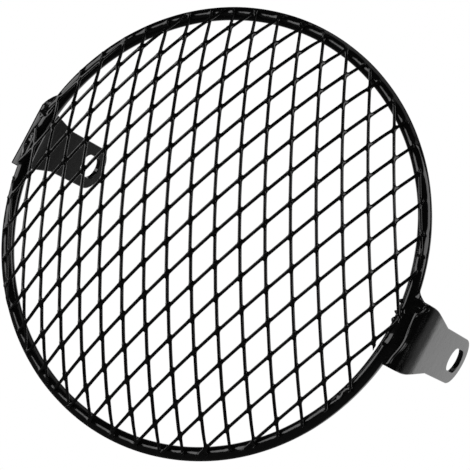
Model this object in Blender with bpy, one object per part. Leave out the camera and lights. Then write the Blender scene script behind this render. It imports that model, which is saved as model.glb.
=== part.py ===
"""Motorcycle headlight guard, welded up from rod, expanded metal and plate.

A ring of round rod carries a domed disc of expanded metal across its front. Two
bent side plates stand on the outside of the ring and run back to a slotted tab
each, which bolts to the headlight's ears. Fillet welds hold the plates.

Units are metres. +Z is up, the dome faces -Y and the tabs run back along +Y. The
origin is on the line through the two bolt slots, halfway between the tabs.
"""

import math

import bmesh
import bpy
from mathutils import Vector

# Clearance between two pieces that the welds join
FIT_GAP = 0.0003

# Ring, measured at the middle of its rod
RING_DIAMETER = 0.1730
ROD_DIAMETER = 0.0051
RING_STEPS = 90
ROD_SIDES = 12

# Side plates, measured back from the plane of the ring
PLATE_THICKNESS = 0.0020
BOLT_LINE_TO_RING = 0.0596
FLANGE_SETBACK = 0.0004
FLANGE_FLAT = 0.0007
BEND_INSIDE_RADIUS = 0.0010
TOE_ANGLE = math.radians(6.0)
TAB_FLAT_START = 0.0200
TAPER_START = 0.0105
SHOULDER_START = 0.0322

# Side plates, across
ROOT_WIDTH = 0.0272
TAB_WIDTH = 0.0194
TAPER_FILLET = 0.0450
SHOULDER_FILLET = 0.0020
SLOT_WIDTH = 0.0096
SLOT_TRAVEL = 0.0056
PLATE_EDGE_ROUND = 0.0003

# Expanded metal, as it comes off the roll
MESH_THICKNESS = 0.00075
STRAND_WIDTH = 0.00100
SHORT_WAY = 0.01093
LONG_WAY = 0.02182
WIDE_CORNER_FILLET = 0.0022
NARROW_CORNER_FILLET = 0.0004
KNOT_TILT = math.radians(-20.0)

# Where the mesh lies on the ring, and what pressing the dome does to it
KNOT_OFF_CENTRE = (0.0017, -0.0002)
MESH_TURN = math.radians(3.3)
MESH_SKEW = -0.018
DRAW_IN = 0.027
UNEVEN_STRETCH_X = -0.015
UNEVEN_STRETCH_Z = -0.011
MESH_OVERHANG = 0.0007
DOME_RISE = 0.0182
DOME_EDGE = 0.0025
DOME_FULLNESS = 0.075
DOME_SHOULDER = 0.255
LIP_BLEND = 0.0004
LIP_WIDTH = 0.0060

# Welds that hold the side plates
WELD_LEG = 0.0024
WELD_RUN_ON = 0.0055
GROOVE_ANGLE = math.radians(40.0)
WELD_STEPS = 15

RING_RADIUS = RING_DIAMETER / 2
ROD_RADIUS = ROD_DIAMETER / 2
RING_OUTSIDE = RING_RADIUS + ROD_RADIUS
BEND_OUTSIDE_RADIUS = BEND_INSIDE_RADIUS + PLATE_THICKNESS
BEND_TURN = math.pi / 2 - TOE_ANGLE
TOE_RADIUS = (
    TAB_FLAT_START - FLANGE_SETBACK - BEND_OUTSIDE_RADIUS * (1 - math.sin(TOE_ANGLE))
) / math.sin(TOE_ANGLE)
TOE_LENGTH = TOE_RADIUS * TOE_ANGLE
BEND_START_X = RING_OUTSIDE + FIT_GAP + FLANGE_FLAT
TAB_X = (
    BEND_START_X
    + BEND_OUTSIDE_RADIUS * math.cos(TOE_ANGLE)
    + TOE_RADIUS * (1 - math.cos(TOE_ANGLE))
)
FLAT_START = TAB_FLAT_START - BOLT_LINE_TO_RING
TOE_START = FLAT_START - TOE_LENGTH
BEND_START = TOE_START - BEND_OUTSIDE_RADIUS * BEND_TURN


def clear_scene():
    for found in list(bpy.data.objects):
        bpy.data.objects.remove(found, do_unlink=True)


def paint(name, tint, roughness):
    """A gloss black paint of its own for one piece."""
    material = bpy.data.materials.new(name + "_paint")
    material.use_nodes = True
    shader = material.node_tree.nodes["Principled BSDF"]
    shader.inputs["Base Color"].default_value = (tint, tint, tint, 1.0)
    shader.inputs["Roughness"].default_value = roughness
    shader.inputs["Coat Weight"].default_value = 0.5
    return material


def add_piece(name, mesh_data, roughness=0.25):
    """Turn finished mesh data into a named, painted object of the scene."""
    solid = bpy.data.meshes.new(name)
    bmesh.ops.recalc_face_normals(mesh_data, faces=mesh_data.faces)
    mesh_data.to_mesh(solid)
    mesh_data.free()
    solid.shade_smooth()
    solid.set_sharp_from_angle(angle=math.radians(40))
    solid.materials.append(paint(name, 0.012, roughness))
    piece = bpy.data.objects.new(name, solid)
    bpy.context.collection.objects.link(piece)
    return piece


def loft(sections, closed):
    """Skin a row of equal sections. An open row gets a cap at each end."""
    skin = bmesh.new()
    rows = [[skin.verts.new(point) for point in section] for section in sections]
    following = rows[1:] + rows[:1] if closed else rows[1:]
    for row, after in zip(rows, following):
        for index, corner in enumerate(row):
            back = index - 1
            skin.faces.new((row[back], corner, after[index], after[back]))
    if not closed:
        skin.faces.new(rows[0])
        skin.faces.new(rows[-1])
    return skin


def form_sheet(blank, thickness, place):
    """Give a flat blank its thickness and its final form.

    The blank holds triangles only. place(point, depth) says where a point of the
    blank goes that lies the given depth below the sheet's front face.
    """
    formed = bmesh.new()
    front = {v: formed.verts.new(place(v.co, 0.0)) for v in blank.verts}
    rear = {v: formed.verts.new(place(v.co, thickness)) for v in blank.verts}
    for face in blank.faces:
        formed.faces.new([front[v] for v in face.verts])
        formed.faces.new([rear[v] for v in reversed(face.verts)])
        for loop in face.loops:
            if loop.edge.is_boundary:
                start, end = loop.vert, loop.link_loop_next.vert
                formed.faces.new((front[end], front[start], rear[start], rear[end]))
    blank.free()
    return formed


def fillet(before, corner, after, radius, steps):
    """Points of the arc that rounds one corner of a flat outline."""
    arriving = (before - corner).normalized()
    leaving = (after - corner).normalized()
    half = arriving.angle(leaving) / 2
    centre = corner + (arriving + leaving).normalized() * (radius / math.sin(half))
    start = corner + arriving * (radius / math.tan(half)) - centre
    end = corner + leaving * (radius / math.tan(half)) - centre
    turn = start.angle_signed(end)
    points = []
    for step in range(steps + 1):
        angle = -turn * step / steps
        cosine, sine = math.cos(angle), math.sin(angle)
        points.append(
            centre
            + Vector((start.x * cosine - start.y * sine, start.x * sine + start.y * cosine))
        )
    return points


def make_ring():
    """Round rod, rolled into a ring."""
    sections = []
    for step in range(RING_STEPS):
        around = math.tau * step / RING_STEPS
        section = []
        for side in range(ROD_SIDES):
            angle = math.tau * side / ROD_SIDES
            reach = RING_RADIUS + ROD_RADIUS * math.cos(angle)
            back = ROD_RADIUS * math.sin(angle) - BOLT_LINE_TO_RING
            section.append((reach * math.cos(around), back, reach * math.sin(around)))
        sections.append(section)
    add_piece("ring_rod", loft(sections, closed=True))


def knot_outline():
    """Corners of the knot where four strands meet, anticlockwise from its right side."""
    slope = math.atan2(LONG_WAY, SHORT_WAY)
    rising = Vector((math.cos(slope), math.sin(slope)))
    falling = Vector((rising.x, -rising.y))
    right = Vector((STRAND_WIDTH / 2 / rising.y, 0))
    top = Vector((0, STRAND_WIDTH / 2 / rising.x))
    wide = fillet(right + falling, right, right + rising, WIDE_CORNER_FILLET, 2)
    narrow = fillet(top + rising, top, top - falling, NARROW_CORNER_FILLET, 1)
    return wide, narrow, [-point for point in wide], [-point for point in narrow]


def pressed(along_short, along_long, lift):
    """Where a point of the flat mesh lies on the ring once the dome is pressed."""
    across = along_short
    up = along_long + MESH_SKEW * across
    share = (across * across + up * up) / RING_RADIUS**2
    across *= 1 - DRAW_IN * share
    up *= 1 - DRAW_IN * share
    across, up = (
        across * (1 + UNEVEN_STRETCH_X * up / RING_RADIUS),
        up * (1 + UNEVEN_STRETCH_Z * across / RING_RADIUS),
    )
    cosine, sine = math.cos(MESH_TURN), math.sin(MESH_TURN)
    return Vector((across * cosine - up * sine, lift, across * sine + up * cosine))


def from_axis(point):
    return math.hypot(point.x, point.z)


def cut_round(corners, radius):
    """The part of a polygon inside the round cut that makes the mesh a disc."""
    kept = []
    for start, end in zip(corners, corners[1:] + corners[:1]):
        if from_axis(start) <= radius:
            kept.append(start)
        if (from_axis(start) <= radius) != (from_axis(end) <= radius):
            inner, outer = sorted((start, end), key=from_axis)
            step = outer - inner
            a = step.x**2 + step.z**2
            b = inner.x * step.x + inner.z * step.z
            c = inner.x**2 + inner.z**2 - radius**2
            kept.append(inner + step * ((math.sqrt(b * b - a * c) - b) / a))
    return kept


def keep_largest_island(sheet):
    """Drop the clippings that the round cut leaves loose."""
    unseen = set(sheet.faces)
    islands = []
    while unseen:
        island = []
        front = [unseen.pop()]
        while front:
            face = front.pop()
            island.append(face)
            for edge in face.edges:
                for neighbour in edge.link_faces:
                    if neighbour in unseen:
                        unseen.remove(neighbour)
                        front.append(neighbour)
        islands.append(island)
    islands.sort(key=len)
    loose = [face for island in islands[:-1] for face in island]
    bmesh.ops.delete(sheet, geom=loose, context="FACES")


def mesh_blank():
    """The disc of diamond mesh, seen from the front, with each knot's tilt as its lift."""
    outline = knot_outline()
    sheet = bmesh.new()
    disc = RING_RADIUS + MESH_OVERHANG
    columns = math.ceil(disc * 2.2 / SHORT_WAY)
    rows = math.ceil(disc * 2.2 / LONG_WAY)
    knots = {}
    for column in range(-columns, columns + 1):
        for row in range(-rows, rows + 1):
            if (column + row) % 2:
                continue
            centre = Vector(KNOT_OFF_CENTRE) + Vector((column * SHORT_WAY, row * LONG_WAY)) / 2
            knots[column, row] = [
                [
                    pressed(*(centre + corner), corner.x * math.tan(KNOT_TILT))
                    for corner in side
                ]
                for side in outline
            ]
    for (column, row), (right, top, left, bottom) in knots.items():
        shapes = [right + top + left + bottom]
        upper_right = knots.get((column + 1, row + 1))
        if upper_right:
            shapes.append([right[-1], upper_right[3][0], upper_right[2][-1], top[0]])
        upper_left = knots.get((column - 1, row + 1))
        if upper_left:
            shapes.append([top[-1], upper_left[0][0], upper_left[3][-1], left[0]])
        for corners in shapes:
            corners = cut_round(corners, disc)
            if len(corners) > 2:
                sheet.faces.new([sheet.verts.new(corner) for corner in corners])
    bmesh.ops.remove_doubles(sheet, verts=sheet.verts, dist=0.000002)
    keep_largest_island(sheet)
    bmesh.ops.triangulate(sheet, faces=sheet.faces)
    return sheet


def dome_depth(radius):
    """How far the middle of the mesh stands ahead of the ring's plane.

    The dome runs into a lip, which lies flat across the front of the rod.
    """
    share = (radius / RING_RADIUS) ** 2
    bulge = 1 + DOME_FULLNESS * share + DOME_SHOULDER * share**2
    dome = DOME_EDGE + DOME_RISE * (1 - share) * bulge
    lip = ROD_RADIUS + FIT_GAP + MESH_THICKNESS / 2
    return lip + LIP_BLEND * math.log1p(math.exp((dome - lip) / LIP_BLEND))


def on_dome(point, depth):
    """Place a point of the mesh on the dome, square to its surface."""
    radius = max(from_axis(point), 1e-6)
    probe = RING_RADIUS / 1000
    slope = (dome_depth(radius + probe) - dome_depth(radius - probe)) / (2 * probe)
    normal = Vector((-slope * point.x / radius, -1, -slope * point.z / radius)).normalized()
    inside = RING_RADIUS - ROD_RADIUS - radius
    free = min(max(inside / LIP_WIDTH, 0.0), 1.0)
    lifted = point.y * free + MESH_THICKNESS / 2 - depth
    surface = Vector((point.x, -BOLT_LINE_TO_RING - dome_depth(radius), point.z))
    return surface + normal * lifted


def make_mesh():
    """Expanded metal, cut to a disc and pressed into a dome."""
    formed = form_sheet(mesh_blank(), MESH_THICKNESS, on_dome)
    add_piece("mesh_grille", formed, roughness=0.3)


def plate_outline():
    """One side of the flat plate, from the flange's corner to the middle of its end."""
    root = Vector((BEND_START - BEND_START_X, ROOT_WIDTH / 2))
    flange_reach = math.sqrt((RING_OUTSIDE + FIT_GAP) ** 2 - root.y**2)
    taper = Vector((TAPER_START - BOLT_LINE_TO_RING, ROOT_WIDTH / 2))
    shoulder = Vector((SHOULDER_START - BOLT_LINE_TO_RING, TAB_WIDTH / 2))
    end = Vector((SLOT_TRAVEL / 2, TAB_WIDTH / 2))
    side = [Vector((root.x + flange_reach, root.y))]
    side += fillet(side[0], taper, shoulder, TAPER_FILLET, 4)
    side += fillet(taper, shoulder, end, SHOULDER_FILLET, 2)
    for step in range(9):
        angle = math.pi / 2 * (1 - step / 9)
        side.append(
            Vector((end.x + end.y * math.cos(angle), end.y * math.sin(angle)))
        )
    return side, Vector((end.x + end.y, 0))


def flange_edge():
    """The flange's edge, cut to the curve of the ring, from top to bottom."""
    points = []
    steps = 8
    for step in range(1, steps):
        up = ROOT_WIDTH * (0.5 - step / steps)
        reach = math.sqrt((RING_OUTSIDE + FIT_GAP) ** 2 - up**2)
        points.append(Vector((BEND_START - BEND_START_X + reach, up)))
    return points


def slot_outline():
    """The bolt slot, with round ends."""
    points = []
    for end, first in ((1, -90), (-1, 90)):
        for step in range(11):
            angle = math.radians(first + 18 * step)
            points.append(
                Vector(
                    (
                        end * SLOT_TRAVEL / 2 + SLOT_WIDTH / 2 * math.cos(angle),
                        SLOT_WIDTH / 2 * math.sin(angle),
                    )
                )
            )
    return points


def plate_blank():
    """The flat plate with its slot punched, x along it and z across it."""
    blank = bmesh.new()
    upper, tip = plate_outline()
    lower = [Vector((point.x, -point.y)) for point in upper]
    edges = []
    for loop in (lower + [tip] + upper[::-1] + flange_edge(), slot_outline()):
        corners = [blank.verts.new((point.x, 0, point.y)) for point in loop]
        for start, end in zip(corners, corners[1:] + corners[:1]):
            edges.append(blank.edges.new((start, end)))
    bmesh.ops.triangle_fill(blank, edges=edges, use_beauty=True, normal=(0, -1, 0))
    creases = [BEND_START + BEND_OUTSIDE_RADIUS * BEND_TURN * step / 8 for step in range(8)]
    creases += [TOE_START + TOE_LENGTH * step / 4 for step in range(5)]
    for crease in creases:
        everything = blank.verts[:] + blank.edges[:] + blank.faces[:]
        bmesh.ops.bisect_plane(
            blank, geom=everything, dist=1e-6, plane_co=(crease, 0, 0), plane_no=(1, 0, 0)
        )
    bmesh.ops.triangulate(blank, faces=blank.faces)
    return blank


def on_bent_plate(point, depth):
    """Bend the flat plate: a tight bend at the flange, then a slow one up to the tab."""
    if point.x < TOE_START:
        turned = max(point.x - BEND_START, 0.0) / BEND_OUTSIDE_RADIUS
        straight = min(point.x - BEND_START, 0.0)
        centre = Vector((BEND_START_X, FLANGE_SETBACK + BEND_OUTSIDE_RADIUS))
        radius = BEND_OUTSIDE_RADIUS - depth
    elif point.x < FLAT_START:
        turned = BEND_TURN + (point.x - TOE_START) / TOE_RADIUS
        straight = 0.0
        centre = Vector((TAB_X - TOE_RADIUS, TAB_FLAT_START))
        radius = TOE_RADIUS - depth
    else:
        return Vector((TAB_X - depth, point.x, point.z))
    across = centre.x + straight + radius * math.sin(turned)
    back = centre.y - radius * math.cos(turned) - BOLT_LINE_TO_RING
    return Vector((across, back, point.z))


def round_edges(piece, size):
    rounding = piece.modifiers.new("edge_round", "BEVEL")
    rounding.width = size
    rounding.segments = 1
    rounding.limit_method = "ANGLE"
    rounding.angle_limit = math.radians(50)


def make_plate(name, side):
    """Side plate, cut and slotted flat and then bent. side is 1 at +X and -1 at -X."""
    formed = form_sheet(plate_blank(), PLATE_THICKNESS, on_bent_plate)
    for vert in formed.verts:
        vert.co.x *= side
    round_edges(add_piece(name, formed), PLATE_EDGE_ROUND)


def sweep_weld(name, side, section_at, first, last):
    """Run a weld section along the outside of the ring, between two heights above its middle."""
    sections = []
    for step in range(WELD_STEPS + 1):
        height = first + (last - first) * step / WELD_STEPS
        around = math.asin(height / RING_OUTSIDE)
        sections.append(
            [
                (
                    side * radius * math.cos(around),
                    back - BOLT_LINE_TO_RING,
                    radius * math.sin(around),
                )
                for radius, back in section_at(height)
            ]
        )
    add_piece(name, loft(sections, closed=False), roughness=0.35)


def rod_arc(first, last, steps):
    """Points just off the rod, by angle from its outermost side towards the rear."""
    radius = ROD_RADIUS + FIT_GAP
    return [
        (
            RING_RADIUS + radius * math.cos(first + (last - first) * step / steps),
            radius * math.sin(first + (last - first) * step / steps),
        )
        for step in range(steps + 1)
    ]


def bead_share(height, last):
    """1 over a bead's middle, falling round at its two ends."""
    past = max(abs(height) - (last - WELD_LEG), 0.0) / WELD_LEG
    return 0.3 + 0.7 * math.sqrt(max(1 - past**2, 0.0))


def front_weld_section(height):
    """Fillet between the rod and the flange's face, which fades out past the flange's top."""
    flange_top = ROOT_WIDTH / 2
    if height > flange_top:
        share = 0.12 + 0.88 * (1 - (height - flange_top) / WELD_RUN_ON) ** 2
    else:
        share = bead_share(min(height, 0.0), flange_top)
    leg = WELD_LEG * share
    toe_back = FLANGE_SETBACK - FIT_GAP
    rod_end = math.asin(toe_back / (ROD_RADIUS + FIT_GAP))
    arc = rod_arc(rod_end - leg / ROD_RADIUS, rod_end, 4)
    toe = (RING_OUTSIDE + FIT_GAP + leg, toe_back)
    crest = ((arc[0][0] + toe[0] + leg / 4) / 2, (arc[0][1] + toe[1] - leg / 4) / 2)
    return arc + [toe, crest]


def rear_weld_section(height):
    """Bead in the groove between the rod and the flange's curved edge."""
    share = bead_share(height, ROOT_WIDTH / 2)
    heel = FLANGE_SETBACK + PLATE_THICKNESS / 2
    top = heel + PLATE_THICKNESS / 2 * share
    heel_angle = math.asin(heel / (ROD_RADIUS + FIT_GAP))
    arc = rod_arc(heel_angle, heel_angle + GROOVE_ANGLE * share, 4)
    crown = ((arc[-1][0] + RING_OUTSIDE) / 2, max(top, arc[-1][1]) + WELD_LEG * share / 8)
    return arc + [crown, (RING_OUTSIDE, top), (RING_OUTSIDE, heel)]


def make_welds(tag, side):
    """The fillet in front of a plate's flange and the bead in the groove behind it."""
    half = ROOT_WIDTH / 2
    sweep_weld(f"weld_{tag}_front", side, front_weld_section, -half, half + WELD_RUN_ON)
    sweep_weld(f"weld_{tag}_rear", side, rear_weld_section, -half, half)


def main():
    clear_scene()
    make_ring()
    make_mesh()
    for tag, side in (("right", 1), ("left", -1)):
        make_plate(f"side_plate_{tag}", side)
        make_welds(tag, side)


main()
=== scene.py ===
"""Dresses the headlight guard for its picture.

A rolled rod ring, a disc of expanded metal pressed into a dome, two bent side
plates and the welds that hold them, all under one coat of gloss black paint.
Everything is in metres, in the frame of the CAD: the dome faces -Y and +Z is up.
"""

import logging
import math
import random
from dataclasses import dataclass, field
from enum import Enum
from typing import Callable, Iterable, Optional, Sequence

import bmesh
import bpy
from mathutils import Matrix, Vector, noise
from mathutils.bvhtree import BVHTree


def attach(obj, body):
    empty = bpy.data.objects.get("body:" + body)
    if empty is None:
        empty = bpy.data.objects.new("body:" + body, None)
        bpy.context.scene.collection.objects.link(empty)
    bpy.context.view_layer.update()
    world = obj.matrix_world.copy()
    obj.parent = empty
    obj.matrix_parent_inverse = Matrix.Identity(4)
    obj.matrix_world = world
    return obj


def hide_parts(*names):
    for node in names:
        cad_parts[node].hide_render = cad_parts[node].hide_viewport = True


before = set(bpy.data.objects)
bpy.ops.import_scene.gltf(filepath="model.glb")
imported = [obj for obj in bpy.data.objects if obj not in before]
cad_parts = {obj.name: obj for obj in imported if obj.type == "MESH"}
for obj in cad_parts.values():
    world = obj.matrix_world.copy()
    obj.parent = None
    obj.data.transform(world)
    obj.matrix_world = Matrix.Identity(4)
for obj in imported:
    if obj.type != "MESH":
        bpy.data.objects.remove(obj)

log = logging.getLogger("headlight_guard")

BODY = "root"
ROUND_SEGMENTS = 3
SHARP_FROM = math.radians(50)
SAME_POINT = 0.000002

Outline = list[Vector]
Section = list[Vector]
Skin = bmesh.types.BMesh
Piece = bpy.types.Object
Material = bpy.types.Material
Tree = bpy.types.NodeTree
Socket = bpy.types.NodeSocket


class Side(Enum):
    """The two sides of the guard, by the sign of their x."""

    RIGHT = 1
    LEFT = -1

    @property
    def tag(self) -> str:
        """The side's word in the names of its nodes."""
        return self.name.lower()


class Slot(Enum):
    """The record's material slots."""

    RING = "ring"
    MESH = "mesh"
    PLATE = "plate"
    WELD = "weld"


def ease(low: float, high: float, value: float) -> float:
    """Rise smoothly from 0 where the value is low to 1 where it is high."""
    share = min(max((value - low) / (high - low), 0.0), 1.0)
    return share * share * (3 - 2 * share)


def waviness(point: Vector, length: float, seed: float = 0.0) -> float:
    """Soft unevenness at a point, from about -1 to 1, in waves of one length."""
    return noise.noise(point / length + Vector((seed, 1.7 * seed, 0.3)))


def lean_curve(start: Vector, pull: Vector, end: Vector, share: float) -> Vector:
    """A point on the smooth curve from start to end that leans towards pull."""
    return start * (1 - share) ** 2 + pull * (2 * share * (1 - share)) + end * share**2


def loft(sections: Sequence[Section], closed: bool) -> Skin:
    """Skin a row of sections that have the same number of corners.

    Args:
        sections: The sections, each a closed loop of corners.
        closed: Whether the row joins its own start. An open row gets end caps.

    Returns:
        The skin.
    """
    skin = bmesh.new()
    rows = [[skin.verts.new(corner) for corner in section] for section in sections]
    following = rows[1:] + rows[:1] if closed else rows[1:]
    for row, after in zip(rows, following):
        for index, corner in enumerate(row):
            back = index - 1
            skin.faces.new((row[back], corner, after[index], after[back]))
    if not closed:
        skin.faces.new(rows[0])
        skin.faces.new(rows[-1])
    return skin


def form_sheet(
    blank: Skin, thickness: float, place: Callable[[Vector, float], Vector]
) -> Skin:
    """Give a flat blank its thickness and its final form.

    Args:
        blank: The flat blank, which is used up.
        thickness: The sheet's thickness.
        place: Says where a point of the blank goes that lies some depth below the front face.

    Returns:
        The formed sheet.
    """
    formed = bmesh.new()
    front = {v: formed.verts.new(place(v.co, 0.0)) for v in blank.verts}
    rear = {v: formed.verts.new(place(v.co, thickness)) for v in blank.verts}
    for face in blank.faces:
        formed.faces.new([front[v] for v in face.verts])
        formed.faces.new([rear[v] for v in reversed(face.verts)])
        for loop in face.loops:
            if loop.edge.is_boundary:
                start, end = loop.vert, loop.link_loop_next.vert
                formed.faces.new((front[end], front[start], rear[start], rear[end]))
    blank.free()
    return formed


def fillet(
    before: Vector, corner: Vector, after: Vector, radius: float, steps: int
) -> Outline:
    """Round one corner of a flat outline.

    Args:
        before: The outline's point before the corner.
        corner: The corner itself.
        after: The outline's point after the corner.
        radius: Radius of the rounding.
        steps: How many straight lines stand for the arc.

    Returns:
        Points of the arc, in the outline's order.
    """
    arriving = (before - corner).normalized()
    leaving = (after - corner).normalized()
    half = arriving.angle(leaving) / 2
    centre = corner + (arriving + leaving).normalized() * (radius / math.sin(half))
    start = corner + arriving * (radius / math.tan(half)) - centre
    end = corner + leaving * (radius / math.tan(half)) - centre
    turn = start.angle_signed(end)
    turns = [-turn * step / steps for step in range(steps + 1)]
    return [centre + Matrix.Rotation(angle, 2) @ start for angle in turns]


def round_edges(piece: Piece, size: float, flat: bool) -> None:
    """Round a piece's sharp edges.

    Args:
        piece: The piece.
        size: Width of the rounding.
        flat: Whether the flat faces between them keep their flat shading.
    """
    rounding = piece.modifiers.new("edge_round", "BEVEL")
    rounding.width = size
    rounding.segments = ROUND_SEGMENTS
    rounding.limit_method = "ANGLE"
    rounding.angle_limit = SHARP_FROM
    rounding.use_clamp_overlap = False
    if flat:
        shading = piece.modifiers.new("flat_shading", "WEIGHTED_NORMAL")
        shading.keep_sharp = False


def settle_rounding(piece: Piece, stray: float) -> None:
    """Make a piece's rounding part of its mesh, and pull stray corners back onto the metal.

    Args:
        piece: The piece, with its rounding still a modifier.
        stray: How far a corner may lie from the metal as it was before.
    """
    faces = [list(face.vertices) for face in piece.data.polygons]
    metal = BVHTree.FromPolygons([corner.co for corner in piece.data.vertices], faces)
    bpy.context.view_layer.update()
    evaluated = piece.evaluated_get(bpy.context.evaluated_depsgraph_get())
    rounded = bpy.data.meshes.new_from_object(evaluated)
    for corner in rounded.vertices:
        nearest, _, _, apart = metal.find_nearest(corner.co)
        if apart > stray:
            corner.co = nearest
    piece.modifiers.clear()
    piece.data = rounded


def join_values(
    tree: Tree, operation: str, first: Socket, second: Socket | float, clamp: bool = False
) -> Socket:
    """Join two values of a shader by one step of arithmetic.

    Args:
        tree: The nodes to add to.
        operation: The kind of step, as Blender names it.
        first: Socket of the first value.
        second: Socket of the second value, or the value itself.
        clamp: Whether the result is kept between 0 and 1.

    Returns:
        The result's socket.
    """
    step = tree.nodes.new("ShaderNodeMath")
    step.operation = operation
    step.use_clamp = clamp
    tree.links.new(first, step.inputs[0])
    if isinstance(second, float):
        step.inputs[1].default_value = second
    else:
        tree.links.new(second, step.inputs[1])
    return step.outputs[0]


class Effect(Enum):
    """Surface effects that several finishes share, each one a shader node group."""

    PEEL = "orange_peel"
    MOTTLE = "gloss_mottle"
    THIN_EDGE = "thin_paint_on_edges"
    DUST = "settled_dust"


class EffectShelf:
    """Builds each shared effect once and hands it to the finishes.

    SPECK_START and SPECK_GAIN say which of the noise's peaks become specks of
    dust, and SIDE_SHARE how many of them lie on a face that looks sideways.
    """

    SPECK_START = 0.56
    SPECK_GAIN = 12.0
    SIDE_SHARE = 0.4

    def __init__(self) -> None:
        """Start with no effect built."""
        self._built: dict[Effect, Tree] = {}

    def get(self, effect: Effect) -> Tree:
        """Return an effect's node group, building it the first time.

        Args:
            effect: Which effect.

        Returns:
            Its node group.
        """
        if effect not in self._built:
            makers = {
                Effect.PEEL: self._peel,
                Effect.MOTTLE: self._mottle,
                Effect.THIN_EDGE: self._thin_edge,
                Effect.DUST: self._dust,
            }
            self._built[effect] = makers[effect]()
        return self._built[effect]

    def _start(
        self, effect: Effect, inputs: dict[str, float], output: str
    ) -> tuple[Tree, bpy.types.Node, bpy.types.Node]:
        """Open an empty group with its sockets.

        Args:
            effect: Which effect it will be.
            inputs: Names and usual values of the inputs.
            output: Name of the one output.

        Returns:
            The group, its input node and its output node.
        """
        tree = bpy.data.node_groups.new(effect.value, "ShaderNodeTree")
        for name, usual in inputs.items():
            socket = tree.interface.new_socket(name, in_out="INPUT", socket_type="NodeSocketFloat")
            socket.default_value = usual
        tree.interface.new_socket(output, in_out="OUTPUT", socket_type="NodeSocketFloat")
        return tree, tree.nodes.new("NodeGroupInput"), tree.nodes.new("NodeGroupOutput")

    def _noise(self, tree: Tree, scale: Socket, detail: float) -> Socket:
        """Add noise that sits still on the object.

        Args:
            tree: The group to add it to.
            scale: Socket that gives its scale.
            detail: How many finer layers it has.

        Returns:
            The noise value's socket.
        """
        place = tree.nodes.new("ShaderNodeTexCoord")
        grain = tree.nodes.new("ShaderNodeTexNoise")
        grain.inputs["Detail"].default_value = detail
        tree.links.new(place.outputs["Object"], grain.inputs["Vector"])
        tree.links.new(scale, grain.inputs["Scale"])
        return grain.outputs["Fac"]

    def _peel(self) -> Tree:
        """Slow waves with a finer dimple on them, as sprayed gloss paint dries."""
        usual = {"Wave Scale": 260.0, "Dimple Scale": 1100.0, "Dimple Share": 0.3}
        tree, inlet, outlet = self._start(Effect.PEEL, usual, "Height")
        waves = self._noise(tree, inlet.outputs["Wave Scale"], 1.0)
        dimples = self._noise(tree, inlet.outputs["Dimple Scale"], 0.0)
        share = join_values(tree, "MULTIPLY", dimples, inlet.outputs["Dimple Share"])
        tree.links.new(join_values(tree, "ADD", waves, share), outlet.inputs["Height"])
        return tree

    def _mottle(self) -> Tree:
        """Slightly duller clouds in the gloss."""
        usual = {"Scale": 90.0, "Amount": 0.08}
        tree, inlet, outlet = self._start(Effect.MOTTLE, usual, "Dullness")
        clouds = self._noise(tree, inlet.outputs["Scale"], 3.0)
        centred = join_values(tree, "SUBTRACT", clouds, 0.5)
        scaled = join_values(tree, "MULTIPLY", centred, inlet.outputs["Amount"])
        tree.links.new(scaled, outlet.inputs["Dullness"])
        return tree

    def _thin_edge(self) -> Tree:
        """Mask of the outer edges, where paint draws back and dries thin."""
        tree, inlet, outlet = self._start(Effect.THIN_EDGE, {"Start": 0.53, "Gain": 9.0}, "Mask")
        geometry = tree.nodes.new("ShaderNodeNewGeometry")
        pointed = geometry.outputs["Pointiness"]
        above = join_values(tree, "SUBTRACT", pointed, inlet.outputs["Start"])
        gained = join_values(tree, "MULTIPLY", above, inlet.outputs["Gain"], clamp=True)
        tree.links.new(gained, outlet.inputs["Mask"])
        return tree

    def _dust(self) -> Tree:
        """Mask of fine specks, more of them on faces that look up."""
        tree, inlet, outlet = self._start(Effect.DUST, {"Scale": 1600.0, "Amount": 0.5}, "Mask")
        specks = self._noise(tree, inlet.outputs["Scale"], 2.0)
        high = join_values(tree, "SUBTRACT", specks, self.SPECK_START)
        sharp = join_values(tree, "MULTIPLY", high, self.SPECK_GAIN, clamp=True)
        geometry = tree.nodes.new("ShaderNodeNewGeometry")
        split = tree.nodes.new("ShaderNodeSeparateXYZ")
        tree.links.new(geometry.outputs["Normal"], split.inputs[0])
        upward = join_values(tree, "MULTIPLY", split.outputs["Z"], 1.0 - self.SIDE_SHARE)
        upward = join_values(tree, "ADD", upward, self.SIDE_SHARE, clamp=True)
        both = join_values(tree, "MULTIPLY", sharp, upward)
        both = join_values(tree, "MULTIPLY", both, inlet.outputs["Amount"])
        tree.links.new(both, outlet.inputs["Mask"])
        return tree


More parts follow.
